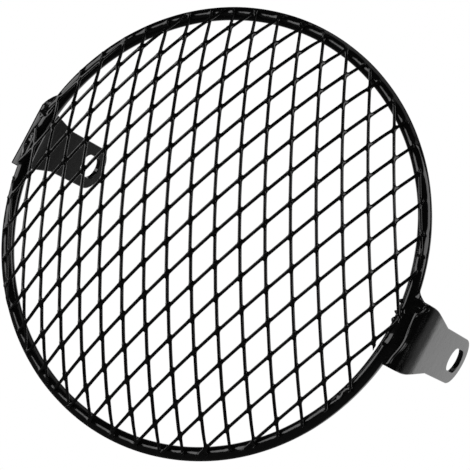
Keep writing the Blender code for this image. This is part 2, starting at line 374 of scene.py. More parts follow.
@dataclass(frozen=True)
class GlossBlack:
    """Gloss black paint, as it lies on one kind of piece.

    The tints are plain reflectances, alike in red, green and blue.
    """

    name: str
    tint: float = 0.0014
    thin_tint: float = 0.006
    dust_tint: float = 0.060
    roughness: float = 0.13
    mottle: float = 0.06
    peel_depth: float = 0.00004
    wave_scale: float = 260.0
    dimple_share: float = 0.3
    dust: float = 0.05

    def make(self, shelf: EffectShelf) -> Material:
        """Build the material.

        Args:
            shelf: Where the shared effects come from.

        Returns:
            The finished material.
        """
        material = bpy.data.materials.new(self.name)
        material.use_nodes = True
        tree = material.node_tree
        shader = tree.nodes["Principled BSDF"]
        shader.inputs["IOR"].default_value = 1.5

        edge = self._effect(tree, shelf, Effect.THIN_EDGE, {})
        dust = self._effect(tree, shelf, Effect.DUST, {"Amount": self.dust})
        thinned = self._blend(tree, edge.outputs["Mask"], self.tint, self.thin_tint)
        dusted = self._blend(tree, dust.outputs["Mask"], thinned, self.dust_tint)
        tree.links.new(dusted, shader.inputs["Base Color"])

        mottle = self._effect(tree, shelf, Effect.MOTTLE, {"Amount": self.mottle})
        dulled = join_values(tree, "ADD", mottle.outputs["Dullness"], self.roughness, clamp=True)
        dulled = join_values(tree, "ADD", dulled, dust.outputs["Mask"], clamp=True)
        tree.links.new(dulled, shader.inputs["Roughness"])

        waves = {"Wave Scale": self.wave_scale, "Dimple Share": self.dimple_share}
        peel = self._effect(tree, shelf, Effect.PEEL, waves)
        bump = tree.nodes.new("ShaderNodeBump")
        bump.inputs["Distance"].default_value = self.peel_depth
        tree.links.new(peel.outputs["Height"], bump.inputs["Height"])
        tree.links.new(bump.outputs["Normal"], shader.inputs["Normal"])
        return material

    def _effect(
        self, tree: Tree, shelf: EffectShelf, effect: Effect, values: dict[str, float]
    ) -> bpy.types.Node:
        """Place a shared effect with this finish's own values.

        Args:
            tree: The material's nodes.
            shelf: Where the shared effects come from.
            effect: Which effect.
            values: Values for its inputs, by name.

        Returns:
            The placed group node.
        """
        placed = tree.nodes.new("ShaderNodeGroup")
        placed.node_tree = shelf.get(effect)
        for name, value in values.items():
            placed.inputs[name].default_value = value
        return placed

    def _blend(self, tree: Tree, mask: Socket, under: Socket | float, over: float) -> Socket:
        """Lay one grey over another through a mask.

        Args:
            tree: The material's nodes.
            mask: The mask's socket.
            under: The grey where the mask is 0, or its socket.
            over: The grey where the mask is 1.

        Returns:
            The blended colour's socket.
        """
        mix = tree.nodes.new("ShaderNodeMix")
        mix.data_type = "RGBA"
        tree.links.new(mask, mix.inputs["Factor"])
        if isinstance(under, float):
            mix.inputs["A"].default_value = (under, under, under, 1.0)
        else:
            tree.links.new(under, mix.inputs["A"])
        mix.inputs["B"].default_value = (over, over, over, 1.0)
        return mix.outputs["Result"]


def add_piece(
    name: str,
    shape: Skin,
    paint: Material,
    stands_for: Sequence[str] = (),
) -> Piece:
    """Turn finished mesh data into a painted piece that rides on the guard.

    Args:
        name: The piece's name.
        shape: The mesh data, which is used up.
        paint: Its material.
        stands_for: CAD nodes that it replaces.

    Returns:
        The new piece.
    """
    bmesh.ops.recalc_face_normals(shape, faces=shape.faces)
    mesh = bpy.data.meshes.new(name)
    shape.to_mesh(mesh)
    shape.free()
    mesh.shade_smooth()
    mesh.materials.append(paint)
    piece = bpy.data.objects.new(name, mesh)
    bpy.context.scene.collection.objects.link(piece)
    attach(piece, BODY)
    if stands_for:
        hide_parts(*stands_for)
    return piece


def report(piece: Piece) -> None:
    """Log a finished piece's size and its count of faces."""
    evaluated = piece.evaluated_get(bpy.context.evaluated_depsgraph_get())
    shown = evaluated.to_mesh()
    shown.calc_loop_triangles()
    corners = [Vector(corner) for corner in evaluated.bound_box]
    sides = [1000 * (max(along) - min(along)) for along in zip(*corners)]
    count = len(shown.loop_triangles)
    log.info("%s: %.1f x %.1f x %.1f mm, %d triangles", piece.name, *sides, count)
    evaluated.to_mesh_clear()


@dataclass(frozen=True)
class RingPlan:
    """The ring that every other piece is laid out from."""

    radius: float = 0.08635
    rod: float = 0.00263
    plane: float = -0.0596

    def normal(self, around: float, facing: float) -> Vector:
        """Direction that the rod faces, around from +X to +Z and facing from out to front."""
        out = math.cos(facing)
        return Vector((out * math.cos(around), -math.sin(facing), out * math.sin(around)))

    def centre(self, around: float) -> Vector:
        """Middle of the rod at an angle round the ring."""
        return Vector((self.radius * math.cos(around), self.plane, self.radius * math.sin(around)))

    def surface(self, around: float, facing: float, lift: float = 0.0) -> Vector:
        """A point on the rod, or the given lift above it."""
        return self.centre(around) + self.normal(around, facing) * (self.rod + lift)


@dataclass(frozen=True)
class StrandEnd:
    """Where one strand of the mesh lies across the rod."""

    path: tuple[Vector, ...]
    around: float
    fillet: float
    reach: float
    bead: float

    def distance(self, point: Vector) -> float:
        """Distance from a point to the strand's middle line."""
        least = math.inf
        for start, end in zip(self.path, self.path[1:]):
            along = end - start
            share = (point - start).dot(along) / max(along.length_squared, 1e-14)
            nearest = start + along * min(max(share, 0.0), 1.0)
            least = min(least, (point - nearest).length)
        return least


@dataclass
class DomedGrille:
    """Disc of expanded metal, pressed into a dome and laid over the front of the ring."""

    ring: RingPlan
    thickness: float = 0.00085
    strand_width: float = 0.00125
    short_way: float = 0.01093
    long_way: float = 0.02182
    wide_fillet: float = 0.0022
    narrow_fillet: float = 0.0004
    knot_tilt: float = math.radians(-23.0)
    knot_crown: float = 0.00050
    knot_shoulder: float = 0.52
    knot_top: float = 1.35
    strand_crown: float = 0.00012
    blank_share: float = 2.2
    off_centre: tuple[float, float] = (0.0017, -0.0002)
    turn: float = math.radians(3.3)
    skew: float = -0.018
    draw_in: float = 0.027
    uneven_x: float = -0.015
    uneven_z: float = -0.011
    rise: float = 0.01762
    edge: float = 0.0025
    fullness: float = 0.075
    shoulder: float = 0.255
    lip_blend: float = 0.0004
    lip_width: float = 0.0060
    seat_gap: float = 0.0002
    shortest_end: float = 0.0007
    longest_end: float = 0.0014
    stub_around: float = math.radians(-8.6)
    stub_window: float = math.radians(1.2)
    stub_radius: float = 0.0841
    weld_fillet: tuple[float, float] = (0.00034, 0.00062)
    weld_reach: tuple[float, float] = (0.0008, 0.0013)
    weld_beads: tuple[float, ...] = (0.0, 0.0001, 0.0003, 0.0004)
    strand_steps: int = 6
    path_steps: int = 6
    path_lead: float = 0.0004
    past_knot: float = 0.00001
    halvings: int = 24
    paint_round: float = 0.00040
    most_stray: float = 0.00018
    seed: int = 11
    ends: list[StrandEnd] = field(default_factory=list)

    def pressed(self, flat: Vector, lift: float) -> Vector:
        """Where a point of the flat mesh lies on the ring once the dome is pressed.

        Args:
            flat: The point, along the short way and the long way.
            lift: How far the knot's tilt raises it.

        Returns:
            The point, with the lift as its y.
        """
        across = flat.x
        up = flat.y + self.skew * across
        share = (across * across + up * up) / self.ring.radius**2
        across *= 1 - self.draw_in * share
        up *= 1 - self.draw_in * share
        across, up = (
            across * (1 + self.uneven_x * up / self.ring.radius),
            up * (1 + self.uneven_z * across / self.ring.radius),
        )
        cosine, sine = math.cos(self.turn), math.sin(self.turn)
        return Vector((across * cosine - up * sine, lift, across * sine + up * cosine))

    def depth(self, radius: float) -> float:
        """How far the middle of the mesh stands ahead of the ring's plane at a radius."""
        share = (radius / self.ring.radius) ** 2
        bulge = 1 + self.fullness * share + self.shoulder * share**2
        dome = self.edge + self.rise * (1 - share) * bulge
        seat = self.ring.rod + self.seat_gap + self.thickness / 2
        past = max(radius - self.ring.radius, 0.0)
        lip = math.sqrt(max(seat**2 - past**2, 1e-8))
        return lip + self.lip_blend * math.log1p(math.exp((dome - lip) / self.lip_blend))

    def place(self, point: Vector, below: float) -> Vector:
        """Put a point of the pressed mesh on the dome.

        Args:
            point: The point, with its lift as y.
            below: Depth below the front face of the sheet.

        Returns:
            The point in the frame of the CAD.
        """
        radius = max(math.hypot(point.x, point.z), 1e-6)
        probe = self.ring.radius / 1000
        slope = (self.depth(radius + probe) - self.depth(radius - probe)) / (2 * probe)
        normal = Vector((-slope * point.x / radius, -1, -slope * point.z / radius)).normalized()
        inside = self.ring.radius - self.ring.rod - radius
        free = min(max(inside / self.lip_width, 0.0), 1.0)
        lifted = point.y * free + self.thickness / 2 - below
        surface = Vector((point.x, self.ring.plane - self.depth(radius), point.z))
        return surface + normal * lifted

    def knot_outline(self) -> tuple[Outline, Outline, Outline, Outline]:
        """Corners of the knot where four strands meet.

        Returns:
            Its right, top, left and bottom corners, anticlockwise.
        """
        slope = math.atan2(self.long_way, self.short_way)
        rising = Vector((math.cos(slope), math.sin(slope)))
        falling = Vector((rising.x, -rising.y))
        right = Vector((self.strand_width / 2 / rising.y, 0))
        top = Vector((0, self.strand_width / 2 / rising.x))
        wide = fillet(right + falling, right, right + rising, self.wide_fillet, 5)
        narrow = fillet(top + rising, top, top - falling, self.narrow_fillet, 3)
        return wide, narrow, [-point for point in wide], [-point for point in narrow]

    def cut_round(self, corners: Outline, radius: float) -> Outline:
        """The part of a polygon inside a round cut.

        Args:
            corners: The polygon.
            radius: The cut's radius.

        Returns:
            The corners of what is left.
        """
        kept = []
        for start, end in zip(corners, corners[1:] + corners[:1]):
            reach = [math.hypot(point.x, point.z) - radius for point in (start, end)]
            if reach[0] <= 0:
                kept.append(start)
            if (reach[0] <= 0) != (reach[1] <= 0):
                kept.append(start.lerp(end, reach[0] / (reach[0] - reach[1])))
        return kept

    def keep_largest_island(self, sheet: Skin) -> None:
        """Drop the clippings that the round cut leaves loose."""
        unseen = set(sheet.faces)
        islands = []
        while unseen:
            island = []
            front = [unseen.pop()]
            while front:
                face = front.pop()
                island.append(face)
                for edge in face.edges:
                    for neighbour in edge.link_faces:
                        if neighbour in unseen:
                            unseen.remove(neighbour)
                            front.append(neighbour)
            islands.append(island)
        islands.sort(key=len)
        loose = [face for island in islands[:-1] for face in island]
        bmesh.ops.delete(sheet, geom=loose, context="FACES")

    def at_radius(self, inner: Vector, outer: Vector, radius: float) -> Vector:
        """Find the point of a strand's middle line at one radius, by halving.

        Args:
            inner: The line's end nearer the middle.
            outer: Its other end.
            radius: The radius to find.

        Returns:
            The point.
        """
        low, high = 0.0, 1.0
        for _ in range(self.halvings):
            middle = (low + high) / 2
            point = inner.lerp(outer, middle)
            if math.hypot(point.x, point.z) < radius:
                low = middle
            else:
                high = middle
        return inner.lerp(outer, low)

    def land(self, inner: Vector, outer: Vector, chance: random.Random) -> float:
        """Record how a strand lies across the rod, and say where it is cut.

        Args:
            inner: Middle of the knot that it comes from.
            outer: Middle of the knot that it would have gone to.
            chance: Source of the small differences from strand to strand.

        Returns:
            Radius of the cut at its end.
        """
        landing = self.at_radius(inner, outer, self.ring.radius)
        around = math.atan2(landing.z, landing.x)
        if abs(around - self.stub_around) < self.stub_window:
            return self.stub_radius
        cut = self.ring.radius + chance.uniform(self.shortest_end, self.longest_end)
        start = math.hypot(inner.x, inner.z)
        first = max(start, self.ring.radius - self.ring.rod - self.path_lead) + self.past_knot
        path = []
        for step in range(self.path_steps + 1):
            radius = first + (cut - first) * step / self.path_steps
            point = self.at_radius(inner, outer, radius)
            point.y = 0.0
            path.append(self.place(point, self.thickness / 2))
        self.ends.append(
            StrandEnd(
                path=tuple(path),
                around=around,
                fillet=chance.uniform(*self.weld_fillet),
                reach=chance.uniform(*self.weld_reach),
                bead=chance.choice(self.weld_beads),
            )
        )
        return cut

    def knot_faces(self, middle: Vector, rim: Outline) -> list[Outline]:
        """Faces of one knot, slightly domed as the paint rounds it.

        Args:
            middle: The knot's middle.
            rim: Its outline.

        Returns:
            The faces.
        """
        raised = Vector((0, self.knot_crown, 0))
        inner = [middle.lerp(corner, self.knot_shoulder) + raised for corner in rim]
        top = middle + raised * self.knot_top
        faces = []
        for index, corner in enumerate(rim):
            back = index - 1
            faces.append([rim[back], corner, inner[index], inner[back]])
            faces.append([inner[back], inner[index], top])
        return faces

    def strand_faces(
        self, near_a: Vector, far_a: Vector, far_b: Vector, near_b: Vector
    ) -> list[Outline]:
        """Faces of one strand, with a ridge along its middle as the paint rounds it.

        Args:
            near_a: One corner of the knot that it leaves.
            far_a: The corner that it reaches on the same side.
            far_b: The other corner that it reaches.
            near_b: The other corner of the knot that it leaves.

        Returns:
            The faces.
        """
        last = self.strand_steps
        shares = [step / last for step in range(last + 1)]
        sides = [(near_a.lerp(far_a, share), near_b.lerp(far_b, share)) for share in shares]
        ridge = [(left + right) / 2 + Vector((0, self.strand_crown, 0)) for left, right in sides]
        faces = [[sides[0][0], ridge[1], sides[0][1]], [ridge[-2], sides[-1][0], sides[-1][1]]]
        for step in range(last):
            (a_low, b_low), (a_high, b_high) = sides[step], sides[step + 1]
            if step == 0:
                faces += [[a_low, a_high, ridge[1]], [ridge[1], b_high, b_low]]
            elif step == last - 1:
                faces += [[a_low, a_high, ridge[step]], [ridge[step], b_high, b_low]]
            else:
                faces += [[a_low, a_high, ridge[step + 1], ridge[step]]]
                faces += [[ridge[step], ridge[step + 1], b_high, b_low]]
        return faces

    def blank(self) -> Skin:
        """The disc of diamond mesh, seen from the front, with each knot's tilt as its lift."""
        outline = self.knot_outline()
        chance = random.Random(self.seed)
        sheet = bmesh.new()
        disc = self.ring.radius + (self.shortest_end + self.longest_end) / 2
        columns = math.ceil(disc * self.blank_share / self.short_way)
        rows = math.ceil(disc * self.blank_share / self.long_way)
        tilt = math.tan(self.knot_tilt)
        knots = {}
        middles = {}
        for column in range(-columns, columns + 1):
            for row in range(-rows, rows + 1):
                if (column + row) % 2:
                    continue
                centre = Vector(self.off_centre)
                centre += Vector((column * self.short_way, row * self.long_way)) / 2
                middles[column, row] = self.pressed(centre, 0.0)
                knots[column, row] = [
                    [self.pressed(centre + corner, corner.x * tilt) for corner in side]
                    for side in outline
                ]
        for (column, row), (right, top, left, bottom) in knots.items():
            rim = right + top + left + bottom
            shapes = [(face, disc) for face in self.knot_faces(middles[column, row], rim)]
            for other, gate in (
                ((column + 1, row + 1), lambda far: (right[-1], far[3][0], far[2][-1], top[0])),
                ((column - 1, row + 1), lambda far: (top[-1], far[0][0], far[3][-1], left[0])),
            ):
                if other not in knots:
                    continue
                here, there = middles[column, row], middles[other]
                reach = sorted((here, there), key=lambda point: math.hypot(point.x, point.z))
                inner, outer = (math.hypot(point.x, point.z) for point in reach)
                cut = disc
                if inner < self.ring.radius <= outer:
                    cut = self.land(reach[0], reach[1], chance)
                elif inner >= self.ring.radius:
                    continue
                shapes += [(face, cut) for face in self.strand_faces(*gate(knots[other]))]
            for corners, cut in shapes:
                corners = self.cut_round(corners, cut)
                if len(corners) > 2:
                    sheet.faces.new([sheet.verts.new(corner) for corner in corners])
        bmesh.ops.remove_doubles(sheet, verts=sheet.verts, dist=SAME_POINT)
        self.keep_largest_island(sheet)
        many_sided = [face for face in sheet.faces if len(face.verts) > 4]
        bmesh.ops.triangulate(sheet, faces=many_sided)
        return sheet

    def build(self, paint: Material) -> Piece:
        """Build the mesh in place of its CAD node.

        Args:
            paint: Its material.

        Returns:
            The piece.
        """
        formed = form_sheet(self.blank(), self.thickness, self.place)
        piece = add_piece("grille_strands", formed, paint, ["mesh_grille"])
        round_edges(piece, self.paint_round, flat=False)
        settle_rounding(piece, self.most_stray)
        return piece


@dataclass(frozen=True)
class FlatSpot:
    """A stretch of rod that the grinder or the weld's heat left flatter."""

    around: float
    facing: float
    length: float
    depth: float

    def trim(self, ring: RingPlan, around: float, facing: float) -> float:
        """How far the rod's surface is cut back.

        Args:
            ring: The ring.
            around: Angle round the ring.
            facing: Angle round the rod.

        Returns:
            The cut, in metres.
        """
        along = (around - self.around) * ring.radius / (self.length / 2)
        if abs(along) >= 1:
            return 0.0
        turned = math.cos(facing - self.facing)
        if turned <= 0:
            return 0.0
        level = ring.rod - self.depth * (1 - along**4)
        return max(ring.rod - level / turned, 0.0)


@dataclass(frozen=True)
class RoughPatch:
    """A patch of rod where the paint lies rough over weld smoke."""

    around: float
    facing: float
    length: float
    width: float
    height: float
    grain: float

    def rise(self, ring: RingPlan, point: Vector, around: float, facing: float) -> float:
        """How far the paint stands off the rod.

        Args:
            ring: The ring.
            point: The point on the bare rod.
            around: Angle round the ring.
            facing: Angle round the rod.

        Returns:
            The rise, in metres.
        """
        along = (around - self.around) * ring.radius / (self.length / 2)
        across = (facing - self.facing) * ring.rod / (self.width / 2)
        share = max(1 - along**2, 0.0) * max(1 - across**2, 0.0)
        return self.height * math.sqrt(share) * waviness(point, self.grain, 5.0)


@dataclass
class RodRing:
    """Round rod rolled into a ring, with the mesh's strands welded over its front."""

    ring: RingPlan
    ends: Sequence[StrandEnd]
    around_steps: int = 900
    rod_steps: int = 36
    flat_spots: Sequence[FlatSpot] = ()
    rough_patch: RoughPatch = RoughPatch(
        around=math.radians(-20.8),
        facing=math.radians(80.0),
        length=0.0104,
        width=0.0062,
        height=0.00042,
        grain=0.0014,
    )
    weld_window: float = math.radians(4.0)
    weld_far: float = 0.004
    weld_back: float = -0.4
    bead_reach: float = 0.0008
    least_swell: float = 0.00002
    swell_share: float = 0.35
    swell_wave: float = 0.0011
    straightness: float = 0.00004
    straight_wave: float = 0.013
    straight_level: float = 0.4
    outermost: float = 0.08899
    sag: float = 0.00016
    sag_around: float = math.radians(-42.0)

    def nearby(self, around: float) -> list[StrandEnd]:
        """The strand ends close to an angle round the ring."""
        found = []
        for end in self.ends:
            apart = (around - end.around + math.pi) % math.tau - math.pi
            if abs(apart) < self.weld_window:
                found.append(end)
        return found

    def swell(self, point: Vector, ends: Iterable[StrandEnd]) -> float:
        """How far weld metal and paint raise the rod at a point.

        Args:
            point: A point on the bare rod.
            ends: The strand ends near it.

        Returns:
            The rise, in metres.
        """
        rise = 0.0
        for end in ends:
            near = end.distance(point)
            if near > self.weld_far:
                continue
            rise = max(rise, end.fillet * math.exp(-((near / end.reach) ** 2)))
            tip = (point - end.path[-1]).length
            rise = max(rise, (end.fillet + end.bead) * math.exp(-((tip / self.bead_reach) ** 2)))
        if rise > self.least_swell:
            rise *= 1 + self.swell_share * waviness(point, self.swell_wave)
        return rise

    def section(self, around: float) -> Section:
        """One section of the rod.

        Args:
            around: Angle round the ring.

        Returns:
            Its corners.
        """
        ends = self.nearby(around)
        corners = []
        for step in range(self.rod_steps):
            facing = math.tau * step / self.rod_steps
            bare = self.ring.surface(around, facing)
            lift = self.swell(bare, ends) if math.sin(facing) > self.weld_back else 0.0
            lift -= sum(spot.trim(self.ring, around, facing) for spot in self.flat_spots)
            unevenness = waviness(bare, self.straight_wave, 2.0) - self.straight_level
            lift += self.straightness * unevenness
            lift += self.rough_patch.rise(self.ring, bare, around, facing)
            lift += self.sag * max(math.cos(around - self.sag_around), 0.0)
            if math.cos(facing) > 0.0:
                room = (self.outermost - self.ring.radius) / math.cos(facing) - self.ring.rod
                lift = min(lift, room)
            corners.append(self.ring.surface(around, facing, lift))
        return corners

    def build(self, paint: Material) -> Piece:
        """Build the ring in place of its CAD node.

        Args:
            paint: Its material.

        Returns:
            The piece.
        """
        steps = self.around_steps
        turns = [math.tau * step / steps - math.pi for step in range(steps)]
        skin = loft([self.section(around) for around in turns], closed=True)
        return add_piece("painted_ring", skin, paint, ["ring_rod"])


@dataclass
class SidePlate:
    """Plate that stands on the ring, bends rearwards and ends in the slotted tab."""

    ring: RingPlan
    side: Side
    thickness: float = 0.0020
    bolt_line: float = 0.0596
    setback: float = 0.0004
    edge_x: float = 0.08935
    bend_start_x: float = 0.09005
    bend_outside: float = 0.0030
    bend_reach: float = 0.98
    toe_angle: float = math.radians(6.0)
    flat_start: float = 0.0200
    taper_start: float = 0.0105
    shoulder_start: float = 0.0322
    root_width: float = 0.0272
    tab_width: float = 0.0194
    taper_fillet: float = 0.0450
    shoulder_fillet: float = 0.0020
    slot_width: float = 0.0096
    slot_travel: float = 0.0056
    edge_round: float = 0.00030
    edge_border: float = 0.00045
    hammering: float = 0.00007
    hammer_wave: float = 0.0075
    end_steps: int = 24
    bend_steps: int = 16
    toe_steps: int = 14
    before_bend: tuple[float, float] = (0.0006, 0.0003)

    @property
    def bend_turn(self) -> float:
        """How far the tight bend turns the plate."""
        return math.pi / 2 - self.toe_angle

    @property
    def toe_radius(self) -> float:
        """Outside radius of the slow bend."""
        rise = self.bend_outside * (1 - math.sin(self.toe_angle))
        return (self.flat_start - self.setback - rise) / math.sin(self.toe_angle)

    @property
    def tab_x(self) -> float:
        """Outer face of the tab."""
        return (
            self.bend_start_x
            + self.bend_outside * math.cos(self.toe_angle)
            + self.toe_radius * (1 - math.cos(self.toe_angle))
        )

    @property
    def flat_from(self) -> float:
        """Where the flat tab starts on the blank."""
        return self.flat_start - self.bolt_line

    @property
    def toe_from(self) -> float:
        """Where the slow bend starts on the blank."""
        return self.flat_from - self.toe_radius * self.toe_angle

    @property
    def bend_from(self) -> float:
        """Where the tight bend starts on the blank."""
        return self.toe_from - self.bend_outside * self.bend_turn

    def front_face(self, across: float) -> float:
        """How far behind the ring's plane the front face lies, across from the middle."""
        past = max(across - self.bend_start_x, 0.0)
        past = min(past, self.bend_outside * self.bend_reach)
        return self.setback + self.bend_outside - math.sqrt(self.bend_outside**2 - past**2)

    def flange_reach(self, up: float) -> float:
        """Where the flange's edge lies on the blank at a height."""
        return self.bend_from - self.bend_start_x + math.sqrt(self.edge_x**2 - up**2)

    def edge_outline(self) -> Outline:
        """One side of the flat plate, from the flange's corner to its end."""
        half = self.root_width / 2
        taper = Vector((self.taper_start - self.bolt_line, half))
        shoulder = Vector((self.shoulder_start - self.bolt_line, self.tab_width / 2))
        end = Vector((self.slot_travel / 2, self.tab_width / 2))
        side = [Vector((self.flange_reach(half), half))]
        side += fillet(side[0], taper, shoulder, self.taper_fillet, 12)
        side += fillet(taper, shoulder, end, self.shoulder_fillet, 5)
        for step in range(self.end_steps):
            angle = math.pi / 2 * (1 - step / self.end_steps)
            side.append(Vector((end.x + end.y * math.cos(angle), end.y * math.sin(angle))))
        return side

    def slot_outline(self) -> Outline:
        """The bolt slot, with round ends."""
        points = []
        for end, first in ((1, -90), (-1, 90)):
            for step in range(self.end_steps + 1):
                angle = math.radians(first + 180 / self.end_steps * step)
                round_end = Vector((math.cos(angle), math.sin(angle))) * (self.slot_width / 2)
                points.append(round_end + Vector((end * self.slot_travel / 2, 0)))
        return points

    def blank(self) -> Skin:
        """The flat plate with its slot punched, x along it and z across it."""
        upper = self.edge_outline()
        lower = [Vector((point.x, -point.y)) for point in upper]
        tip = Vector((self.slot_travel / 2 + self.tab_width / 2, 0))
        shares = [0.5 - step / self.end_steps for step in range(1, self.end_steps)]
        ups = [self.root_width * share for share in shares]
        flange = [Vector((self.flange_reach(up), up)) for up in ups]
        sheet = bmesh.new()
        edges = []
        for loop in (lower + [tip] + upper[::-1] + flange, self.slot_outline()):
            corners = [sheet.verts.new((point.x, 0, point.y)) for point in loop]
            for start, end in zip(corners, corners[1:] + corners[:1]):
                edges.append(sheet.edges.new((start, end)))
        bmesh.ops.triangle_fill(sheet, edges=edges, use_beauty=True, normal=(0, -1, 0))
        border = self.edge_border
        bmesh.ops.inset_region(sheet, faces=sheet.faces, thickness=border, use_boundary=True)
        bend = self.bend_outside * self.bend_turn
        toe = self.toe_radius * self.toe_angle
        creases = [self.bend_from - ahead for ahead in self.before_bend]
        for start, length, steps, extra in (
            (self.bend_from, bend, self.bend_steps, 0),
            (self.toe_from, toe, self.toe_steps, 1),
        ):
            creases += [start + length * step / steps for step in range(steps + extra)]
        for crease in creases:
            self._crease(sheet, Vector((crease, 0, 0)), Vector((1, 0, 0)))
        for step in range(1, self.bend_steps):
            across = self.root_width * (step / self.bend_steps - 0.5)
            self._crease(sheet, Vector((0, 0, across)), Vector((0, 0, 1)), self.flat_from)
        bmesh.ops.triangulate(sheet, faces=sheet.faces)
        return sheet

    def _crease(
        self, sheet: Skin, at: Vector, across: Vector, before: Optional[float] = None
    ) -> None:
        """Add a line of points to the blank, so that it can bend there.

        Args:
            sheet: The blank.
            at: A point of the line.
            across: Direction square to the line.
            before: If given, only the plate ahead of this place along it is cut.
        """
        limit = math.inf if before is None else before
        faces = [face for face in sheet.faces if face.calc_center_median().x < limit]
        touched = {edge for face in faces for edge in face.edges}
        corners = {vert for face in faces for vert in face.verts}
        geometry = faces + list(touched) + list(corners)
        bmesh.ops.bisect_plane(sheet, geom=geometry, dist=1e-6, plane_co=at, plane_no=across)

    def bent(self, point: Vector, below: float) -> Vector:
        """Bend a point of the flat plate to its place.

        Args:
            point: The point on the blank.
            below: Depth below the outer face.

        Returns:
            The point in the frame of the CAD, on this plate's side.
        """
        worked = 1 - ease(self.toe_from, self.flat_from, point.x)
        dent = waviness(point, self.hammer_wave, 5.0 + self.side.value)
        below = below + self.hammering * worked * dent
        if point.x < self.toe_from:
            turned = max(point.x - self.bend_from, 0.0) / self.bend_outside
            straight = min(point.x - self.bend_from, 0.0)
            centre = Vector((self.bend_start_x, self.setback + self.bend_outside))
            radius = self.bend_outside - below
        elif point.x < self.flat_from:
            turned = self.bend_turn + (point.x - self.toe_from) / self.toe_radius
            straight = 0.0
            centre = Vector((self.tab_x - self.toe_radius, self.flat_start))
            radius = self.toe_radius - below
        else:
            return Vector((self.side.value * (self.tab_x - below), point.x, point.z))
        across = centre.x + straight + radius * math.sin(turned)
        back = centre.y - radius * math.cos(turned)
        return Vector((self.side.value * across, back + self.ring.plane, point.z))

    def build(self, paint: Material) -> Piece:
        """Build the plate in place of its CAD node.

        Args:
            paint: Its material.

        Returns:
            The piece.
        """
        formed = form_sheet(self.blank(), self.thickness, self.bent)
        tag = self.side.tag
        piece = add_piece(f"painted_plate_{tag}", formed, paint, [f"side_plate_{tag}"])
        round_edges(piece, self.edge_round, flat=True)
        return piece


@dataclass(frozen=True)
class PoolRipple:
    """Ripple that the weld pools leave behind them, with a finer grain."""

    length: float
    bow: float
    pool_share: float
    grain_share: float
    grain_wave: float
    seed: float

    def rise(self, where: Vector, up: float, share: float) -> float:
        """Height of the ripple at a point.

        Args:
            where: The point.
            up: Its height above the middle of the plate.
            share: How far over the weld it lies, from 0 to 1.

        Returns:
            The height, as a multiple of the weld's ripple.
        """
        behind = up + self.bow * math.cos(math.pi * share)
        pool = math.sin(math.tau * behind / self.length)
        grain = waviness(where, self.grain_wave, self.seed)
        return self.pool_share * pool + self.grain_share * grain


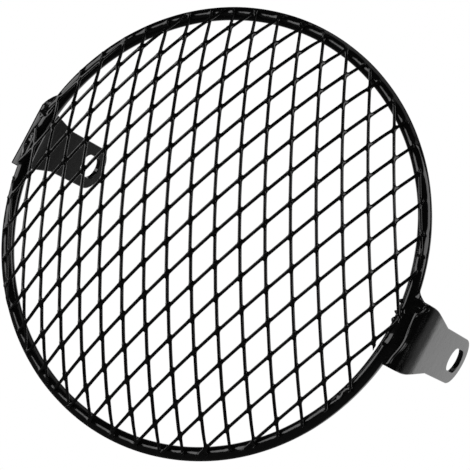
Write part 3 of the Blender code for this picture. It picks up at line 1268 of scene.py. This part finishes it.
@dataclass
class PlateWelds:
    """The fillet in front of a plate's flange and the bead in the groove behind it."""

    ring: RingPlan
    plate: SidePlate
    leg: float = 0.0026
    fullness: float = 0.0
    run_on: float = 0.0031
    run_power: float = 1.8
    top_leg: float = 0.0048
    start_share: float = 0.25
    start_before: float = 0.0001
    start_full: float = 0.0018
    middle_share: float = 0.97
    bow_top: float = -0.0026
    bow_length: float = 0.0172
    bow_share: float = 0.18
    wander_share: float = 0.10
    wander_wave: float = 0.0052
    top_from: float = 0.0012
    top_rise: float = 0.0060
    climb: float = math.radians(56.0)
    most_climb: float = 1.2
    climb_wander: float = 0.12
    climb_wave: float = 0.003
    top_climb: float = 1.0
    top_climb_from: float = 0.0010
    toe_out: float = 0.0003
    toe_lift: float = 0.00003
    hollow_out: float = 0.22
    hollow_up: float = 0.25
    hollow_lift: float = 0.0001
    ripple: float = 0.000006
    front_pools: PoolRipple = PoolRipple(0.0017, 0.0006, 1.0, 2.0, 0.0015, seed=4.0)
    lumps: float = 0.00009
    lump_wave: float = 0.0056
    toe_roll: float = 0.00078
    roll_at: float = 0.80
    roll_width: float = 0.13
    roll_full_leg: float = 0.0021
    least_leg: float = 0.0001
    roll_wander: float = 0.3
    roll_wave: float = 0.004
    rise_out: float = 0.5
    foot_in: float = 0.3
    foot_depth: float = 0.0009
    low_root: tuple[float, float] = (math.radians(-24), -0.0002)
    high_root: tuple[float, float] = (0.5, -0.0005)
    rear_fade: float = 0.15
    rear_least: float = 0.3
    rear_climb: float = math.radians(62)
    rear_climb_least: float = 0.3
    rear_crown: float = 0.0006
    rear_pools: PoolRipple = PoolRipple(0.0016, 0.0005, 0.6, 1.3, 0.002, seed=9.0)
    rear_lap: float = 0.0001
    rear_foot: float = 0.0004
    rear_root: tuple[float, float] = (math.radians(-12), -0.0001)
    rear_length: float = 0.995
    sunk: float = 0.00002
    steps: int = 150
    front_steps: int = 24
    rear_steps: int = 10

    def leg_at(self, up: float) -> float:
        """How far the front fillet reaches out on the plate at a height.

        Args:
            up: Height above the middle of the plate.

        Returns:
            The leg, in metres.
        """
        half = self.plate.root_width / 2
        if up > half - self.top_from:
            share = (up - half + self.top_from) / (self.run_on + self.top_from)
            return self.top_leg * max(1 - share, 0.0) ** self.run_power
        swell = ease(half - self.top_rise, half - self.top_from, up)
        start = math.sqrt(ease(-half - self.start_before, -half + self.start_full, up))
        seed = 3.0 * self.plate.side.value
        wander = waviness(Vector((0, 0, up)), self.wander_wave, seed)
        bow = math.cos(math.tau * (up - self.bow_top) / self.bow_length)
        middle = self.middle_share + self.bow_share * bow + self.wander_share * wander
        middle *= self.leg
        grown = self.start_share + (1 - self.start_share) * start
        return (middle + (self.top_leg - middle) * swell) * grown

    def rod_point(self, up: float, facing: float, lift: float) -> Vector:
        """A point on the rod at a height.

        Args:
            up: Height above the middle of the plate.
            facing: Angle round the rod, from its outermost side towards the front.
            lift: How far above the rod the point lies.

        Returns:
            Its x and its depth behind the ring's plane.
        """
        around_rod = self.ring.rod + lift
        reach = self.ring.radius + around_rod * math.cos(facing)
        return Vector((math.sqrt(reach**2 - up**2), -around_rod * math.sin(facing)))

    def set_out(self, corners: Outline, up: float) -> Section:
        """Move a weld's section from the plate's plan to its place on the guard."""
        side, plane = self.plate.side.value, self.ring.plane
        return [Vector((side * corner.x, corner.y + plane, up)) for corner in corners]

    def front_section(self, up: float) -> Section:
        """One section of the front fillet.

        Args:
            up: Height above the middle of the plate.

        Returns:
            Its corners, from the rod over the fillet to its toe and back behind.
        """
        leg = self.leg_at(up)
        share = min(leg / self.leg, self.most_climb)
        wander = waviness(Vector((0, 0, up)), self.climb_wave, seed=8.0)
        climb = self.climb * share * (1 + self.climb_wander * wander)
        half = self.plate.root_width / 2
        near_top = ease(half - self.top_rise, half - self.top_climb_from, up)
        climb *= 1 + (self.top_climb - 1) * near_top
        contact = self.rod_point(up, climb, self.sunk)
        outermost = self.rod_point(up, 0.0, 0.0)
        grown = min(share, 1.0)
        toe_x = outermost.x + self.toe_out * grown + leg
        toe = Vector((toe_x, self.plate.front_face(toe_x) - self.toe_lift))
        hollow_x = outermost.x + self.hollow_out * leg
        hollow = Vector((hollow_x, -self.hollow_lift - self.hollow_up * leg))
        corner = hollow.lerp((contact + toe) / 2, self.fullness)
        roll_width = self.roll_width * min(self.roll_full_leg / max(leg, self.least_leg), 1.0)
        corners = []
        for step in range(self.front_steps + 1):
            t = step / self.front_steps
            point = lean_curve(contact, corner, toe, t)
            where = Vector((point.x, point.y, up))
            rise = self.ripple * self.front_pools.rise(where, up, t)
            seed = 6.0 + self.plate.side.value
            rise += self.lumps * waviness(where, self.lump_wave, seed)
            rise *= math.sin(math.pi * t)
            roll = math.exp(-(((t - self.roll_at) / roll_width) ** 2))
            wander = waviness(where, self.roll_wave, seed=1.0)
            rise += self.toe_roll * roll * (1 + self.roll_wander * wander)
            point.y -= rise * grown
            point.x += self.rise_out * rise * grown
            corners.append(point)
        corners.append(Vector((toe.x - self.foot_in * leg, toe.y + self.foot_depth * share)))
        facing, lift = self.low_root
        corners.append(self.rod_point(up, facing * grown, lift))
        climb_share, lift = self.high_root
        corners.append(self.rod_point(up, climb * climb_share, lift))
        return self.set_out(corners, up)

    def rear_section(self, up: float) -> Section:
        """One section of the rear bead.

        Args:
            up: Height above the middle of the plate.

        Returns:
            Its corners.
        """
        plate = self.plate
        full = 1 - self.rear_fade
        past = max(abs(up) / (plate.root_width / 2) - full, 0.0) / self.rear_fade
        share = self.rear_least + (1 - self.rear_least) * math.sqrt(max(1 - past**2, 0.0))
        behind = plate.setback + plate.thickness
        contact = self.rod_point(up, -self.rear_climb * share - self.rear_climb_least, self.sunk)
        edge_x = math.sqrt(plate.edge_x**2 - up**2)
        toe = Vector((edge_x, behind - self.rear_lap))
        crown = (contact + toe) / 2 + Vector((0.0, self.rear_crown * share))
        corners = []
        for step in range(self.rear_steps + 1):
            t = step / self.rear_steps
            point = lean_curve(contact, crown, toe, t)
            where = Vector((point.x, point.y, up))
            rise = self.ripple * self.rear_pools.rise(where, up, t)
            point.y += rise * math.sin(math.pi * t) * share
            corners.append(point)
        corners.append(Vector((edge_x - self.rear_lap, plate.setback + self.rear_foot)))
        corners.append(self.rod_point(up, *self.rear_root))
        return self.set_out(corners, up)

    def build(self, paint: Material) -> list[Piece]:
        """Build both welds in place of their CAD nodes.

        Args:
            paint: Their material.

        Returns:
            The pieces.
        """
        half = self.plate.root_width / 2
        rear_half = half * self.rear_length
        tag = self.plate.side.tag
        pieces = []
        for place, section_at, first, last in (
            ("front", self.front_section, -half, half + self.run_on),
            ("rear", self.rear_section, -rear_half, rear_half),
        ):
            ups = [first + (last - first) * step / self.steps for step in range(self.steps + 1)]
            skin = loft([section_at(up) for up in ups], closed=False)
            name = f"painted_weld_{tag}_{place}"
            pieces.append(add_piece(name, skin, paint, [f"weld_{tag}_{place}"]))
        return pieces


@dataclass(frozen=True)
class Spatter:
    """A lump of weld metal on the rod, under the paint. Its angles are in degrees."""

    name: str
    around: float
    facing: float
    length: float
    width: float
    height: float
    seed: float
    flatness: float = 1.4
    raggedness: float = 0.30
    ragged_wave: float = 0.9
    innermost: float = 0.004
    skirt: float = 0.00045
    dimpling: float = 0.12
    dimple_wave: float = 0.0011
    sunk: float = 0.0004
    rings: int = 12
    turns: int = 28

    def build(self, ring: RingPlan, paint: Material) -> Piece:
        """Build the lump.

        Args:
            ring: The ring that it sits on.
            paint: Its material.

        Returns:
            The piece.
        """
        around, facing = math.radians(self.around), math.radians(self.facing)
        normal = ring.normal(around, facing)
        tangent = Vector((-math.sin(around), 0.0, math.cos(around)))
        side = normal.cross(tangent)
        base = ring.surface(around, facing)
        sections = []
        for step in range(self.rings + 1):
            out = max(math.sin(math.pi / 2 * step / self.rings), self.innermost)
            section = []
            for turn in range(self.turns):
                angle = math.tau * turn / self.turns
                ahead = Vector((math.cos(angle), math.sin(angle), 0))
                wander = waviness(ahead, self.ragged_wave, self.seed)
                reach = out * (1 + self.raggedness * wander) / 2
                spread = tangent * (self.length * reach * ahead.x)
                spread += side * (self.width * reach * ahead.y)
                rise = self.height * (1 - out**self.flatness) - self.skirt * out**4
                rise *= 1 + self.dimpling * waviness(spread, self.dimple_wave, self.seed)
                section.append(base + spread + normal * rise)
            sections.append(section)
        sections.append([corner - normal * self.sunk for corner in sections[-1]])
        return add_piece(self.name, loft(sections, closed=False), paint)


@dataclass(frozen=True)
class Softbox:
    """A soft lamp, placed by the direction that it stands in. Its angles are in degrees."""

    name: str
    azimuth: float
    elevation: float
    distance: float
    width: float
    height: float
    radiance: float
    roll: float = 0.0
    aim_back: float = -0.05

    def build(self) -> None:
        """Hang the lamp, facing the guard."""
        lamp = bpy.data.lights.new(self.name, "AREA")
        lamp.shape = "RECTANGLE"
        lamp.size = self.width
        lamp.size_y = self.height
        lamp.energy = self.radiance * math.pi * self.width * self.height
        holder = bpy.data.objects.new(self.name, lamp)
        azimuth, elevation = math.radians(self.azimuth), math.radians(self.elevation)
        level = math.cos(elevation)
        away = Vector((level * math.cos(azimuth), level * math.sin(azimuth), math.sin(elevation)))
        holder.location = Vector((0.0, self.aim_back, 0.0)) + away * self.distance
        facing = away.to_track_quat("Z", "Y").to_matrix()
        roll = Matrix.Rotation(math.radians(self.roll), 3, "Z")
        holder.rotation_euler = (facing @ roll).to_euler()
        holder.visible_camera = False
        bpy.context.scene.collection.objects.link(holder)


@dataclass
class Studio:
    """Floor, backdrop, lamps, surroundings and camera."""

    floor_height: float = -0.200
    floor_reach: float = 5.0
    floor_grey: float = 0.72
    floor_in_gloss: float = 0.10
    floor_lift: float = 0.5
    backdrop_back: float = 1.45
    backdrop_left: float = -1.70
    backdrop_right: float = 0.98
    backdrop_top: float = 0.88
    white_from: float = 0.12
    white_full: float = 0.30
    shine_from: float = 0.30
    shine_full: float = 0.60
    card_fade: tuple[float, float] = (0.54, 0.70)
    card_tail: tuple[float, float] = (0.74, 0.95)
    tail_level: float = 0.17
    camera_place: tuple[float, float, float] = (0.29033, -0.67633, -0.00046)
    camera_right: tuple[float, float, float] = (0.8054, 0.3614, 0.4698)
    camera_down: tuple[float, float, float] = (0.4263, 0.1975, -0.8828)
    lens: float = 135.74
    gloss_level: float = 0.02
    fill_level: float = 0.40
    lamps: tuple[Softbox, ...] = (
        Softbox("softbox_right", -5, 40, 0.90, 0.56, 0.62, 2.6, roll=-15),
        Softbox("softbox_left", -141.5, -8, 0.95, 1.04, 0.80, 2.8),
        Softbox("softbox_top", 90, 86, 1.30, 1.10, 1.10, 0.35),
    )

    def build(self) -> None:
        """Set up the whole studio."""
        self._world()
        self._floor()
        self._backdrop()
        for lamp in self.lamps:
            lamp.build()
        self._camera()

    def _world(self) -> None:
        """White for the camera, dim surroundings for the gloss, plain fill for the rest."""
        world = bpy.data.worlds.new("studio_room")
        world.use_nodes = True
        tree = world.node_tree
        surface = tree.nodes["Background"]
        rays = tree.nodes.new("ShaderNodeLightPath")
        gloss = tree.nodes.new("ShaderNodeMix")
        gloss.inputs["A"].default_value = self.fill_level
        gloss.inputs["B"].default_value = self.gloss_level
        seen = tree.nodes.new("ShaderNodeMix")
        seen.inputs["B"].default_value = 1.0
        tree.links.new(rays.outputs["Is Glossy Ray"], gloss.inputs["Factor"])
        tree.links.new(rays.outputs["Is Camera Ray"], seen.inputs["Factor"])
        tree.links.new(gloss.outputs["Result"], seen.inputs["A"])
        tree.links.new(seen.outputs["Result"], surface.inputs["Strength"])
        surface.inputs["Color"].default_value = (1.0, 1.0, 1.0, 1.0)
        bpy.context.scene.world = world

    def _panel(self, name: str, corners: Sequence[Vector], material: Material) -> None:
        """Add one flat panel of the stage.

        Args:
            name: Its name.
            corners: Its four corners.
            material: Its material.
        """
        shape = bmesh.new()
        shape.faces.new([shape.verts.new(corner) for corner in corners])
        mesh = bpy.data.meshes.new(name)
        shape.to_mesh(mesh)
        shape.free()
        mesh.materials.append(material)
        panel = bpy.data.objects.new(name, mesh)
        bpy.context.scene.collection.objects.link(panel)

    def _fade(
        self, tree: Tree, axis: str, reach: tuple[float, float], falling: bool = False
    ) -> Socket:
        """Ramp across a panel, along one axis of the frame.

        Args:
            tree: The panel's nodes.
            axis: X, Y or Z.
            reach: Where the ramp starts and ends.
            falling: Whether it goes from 1 to 0.

        Returns:
            The ramp's socket.
        """
        place = tree.nodes.new("ShaderNodeTexCoord")
        split = tree.nodes.new("ShaderNodeSeparateXYZ")
        ramp = tree.nodes.new("ShaderNodeMapRange")
        ramp.interpolation_type = "SMOOTHSTEP"
        sockets = ("From Min", "From Max", "To Min", "To Max")
        for name, value in zip(sockets, (*reach, falling, not falling)):
            ramp.inputs[name].default_value = float(value)
        tree.links.new(place.outputs["Object"], split.inputs[0])
        tree.links.new(split.outputs[axis], ramp.inputs["Value"])
        return ramp.outputs[0]

    def _white_share(self, tree: Tree, seen: Optional[Socket], shown: Socket) -> Socket:
        """How white a panel is for the rays that make the background.

        Args:
            tree: The panel's nodes.
            seen: Share for the camera's own rays, or nothing for all of it.
            shown: Share for what the guard's gloss shows.

        Returns:
            The share's socket.
        """
        rays = tree.nodes.new("ShaderNodeLightPath")
        through = rays.outputs["Is Transmission Ray"]
        gloss = join_values(tree, "MAXIMUM", rays.outputs["Is Glossy Ray"], through)
        gloss = join_values(tree, "MULTIPLY", gloss, shown)
        camera = rays.outputs["Is Camera Ray"]
        if seen:
            camera = join_values(tree, "MULTIPLY", camera, seen)
        return join_values(tree, "MAXIMUM", camera, gloss)

    def _floor(self) -> None:
        """Pale floor that keeps the guard's shadow and sweeps up to white behind it."""
        material = bpy.data.materials.new("pale_floor")
        material.use_nodes = True
        tree = material.node_tree
        matt = tree.nodes["Principled BSDF"]
        matt.inputs["Roughness"].default_value = 0.9
        matt.inputs["Specular IOR Level"].default_value = 0.1
        rays = tree.nodes.new("ShaderNodeLightPath")
        shade = tree.nodes.new("ShaderNodeMix")
        shade.data_type = "RGBA"
        for name, grey in (("A", self.floor_grey), ("B", self.floor_in_gloss)):
            shade.inputs[name].default_value = (grey, grey, grey, 1.0)
        tree.links.new(rays.outputs["Is Glossy Ray"], shade.inputs["Factor"])
        tree.links.new(shade.outputs["Result"], matt.inputs["Base Color"])
        lift = join_values(tree, "MULTIPLY", rays.outputs["Is Camera Ray"], self.floor_lift)
        tree.links.new(shade.outputs["Result"], matt.inputs["Emission Color"])
        tree.links.new(lift, matt.inputs["Emission Strength"])
        white = tree.nodes.new("ShaderNodeEmission")
        seen = self._fade(tree, "Y", (self.white_from, self.white_full))
        shown = self._fade(tree, "Y", (self.shine_from, self.shine_full))
        both = tree.nodes.new("ShaderNodeMixShader")
        tree.links.new(self._white_share(tree, seen, shown), both.inputs[0])
        tree.links.new(matt.outputs[0], both.inputs[1])
        tree.links.new(white.outputs[0], both.inputs[2])
        tree.links.new(both.outputs[0], tree.nodes["Material Output"].inputs["Surface"])
        far, low = self.floor_reach, self.floor_height
        ends = ((-far, -far), (far, -far), (far, far), (-far, far))
        self._panel("floor", [Vector((x, y, low)) for x, y in ends], material)

    def _backdrop(self) -> None:
        """White card behind the guard, which its gloss shows as well."""
        material = bpy.data.materials.new("white_card")
        material.use_nodes = True
        tree = material.node_tree
        white = tree.nodes.new("ShaderNodeEmission")
        shown = self._fade(tree, "X", self.card_fade, falling=True)
        tail = self._fade(tree, "X", self.card_tail, falling=True)
        tail.node.inputs["To Min"].default_value = self.tail_level
        shown = join_values(tree, "MAXIMUM", shown, tail)
        tree.links.new(self._white_share(tree, None, shown), white.inputs["Strength"])
        tree.links.new(white.outputs[0], tree.nodes["Material Output"].inputs["Surface"])
        back, low, high = self.backdrop_back, self.floor_height, self.backdrop_top
        left, right = self.backdrop_left, self.backdrop_right
        corners = [Vector((left, back, low)), Vector((right, back, low))]
        corners += [Vector((right, back, high)), Vector((left, back, high))]
        self._panel("backdrop", corners, material)

    def _camera(self) -> None:
        """Put the camera where the photograph was taken from."""
        lens = bpy.data.cameras.new("camera")
        lens.lens = self.lens
        lens.sensor_width = 36.0
        lens.clip_start = 0.01
        camera = bpy.data.objects.new("camera", lens)
        right = Vector(self.camera_right).normalized()
        up = -Vector(self.camera_down)
        up = (up - right * up.dot(right)).normalized()
        back = right.cross(up)
        turn = Matrix((right, up, back)).transposed()
        camera.matrix_world = Matrix.Translation(self.camera_place) @ turn.to_4x4()
        scene = bpy.context.scene
        scene.collection.objects.link(camera)
        scene.camera = camera
        scene.view_settings.view_transform = "Standard"


@dataclass
class HeadlightGuard:
    """The whole guard, built from its sub-assemblies."""

    shelf: EffectShelf = field(default_factory=EffectShelf)
    ring: RingPlan = field(default_factory=RingPlan)
    flat_spots: tuple[FlatSpot, ...] = (
        FlatSpot(math.radians(-2.6), math.radians(100), 0.0070, 0.00046),
        FlatSpot(math.radians(170.8), math.radians(66), 0.0095, 0.00068),
        FlatSpot(math.radians(-179.5), math.radians(42), 0.0240, 0.00070),
    )
    spatter: tuple[Spatter, ...] = (
        Spatter("burr_upper", 6.9, 150, 0.0021, 0.0034, 0.0012, seed=1),
        Spatter("burr_middle", 3.9, 152, 0.0018, 0.0026, 0.0011, seed=2),
        Spatter("burr_lower", 1.9, 148, 0.0030, 0.0026, 0.0009, seed=3),
        Spatter("bead_right_top", 4.2, 92, 0.0050, 0.0030, 0.0006, seed=4),
        Spatter("bead_left_top", 170.6, 118, 0.0026, 0.0017, 0.0004, seed=5),
        Spatter("bead_left_low", -177.4, 58, 0.0034, 0.0022, 0.0007, seed=6),
    )

    def build(self) -> list[Piece]:
        """Build every piece.

        Returns:
            The pieces.
        """
        rod_paint, mesh_paint, plate_paint, weld_paint = (
            finish.make(self.shelf)
            for finish in (
                GlossBlack("gloss_black_rod", roughness=0.11, dust=0.03),
                GlossBlack("gloss_black_mesh", roughness=0.16, peel_depth=0.00002),
                GlossBlack("gloss_black_plate", roughness=0.10, peel_depth=0.00002),
                GlossBlack("gloss_black_weld", roughness=0.10, peel_depth=0.000015),
            )
        )
        grille = DomedGrille(self.ring)
        pieces = [grille.build(mesh_paint)]
        pieces.append(RodRing(self.ring, grille.ends, flat_spots=self.flat_spots).build(rod_paint))
        right, left = SidePlate(self.ring, Side.RIGHT), SidePlate(self.ring, Side.LEFT)
        for welds in (
            PlateWelds(self.ring, right),
            PlateWelds(
                self.ring,
                left,
                leg=0.0013,
                fullness=1.0,
                run_on=0.0062,
                run_power=0.75,
                top_leg=0.0042,
                climb=math.radians(68),
                top_climb=0.28,
                lumps=0.00003,
                toe_roll=0.0,
            ),
        ):
            pieces.append(welds.plate.build(plate_paint))
            pieces += welds.build(weld_paint)
        pieces += [lump.build(self.ring, weld_paint) for lump in self.spatter]
        return pieces


def main() -> None:
    """Build the guard and its studio."""
    logging.basicConfig(level=logging.INFO, format="%(name)s: %(message)s")
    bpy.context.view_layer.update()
    pieces = HeadlightGuard().build()
    bpy.context.view_layer.update()
    for piece in pieces:
        report(piece)
    Studio().build()


if __name__ == "__main__":
    main()
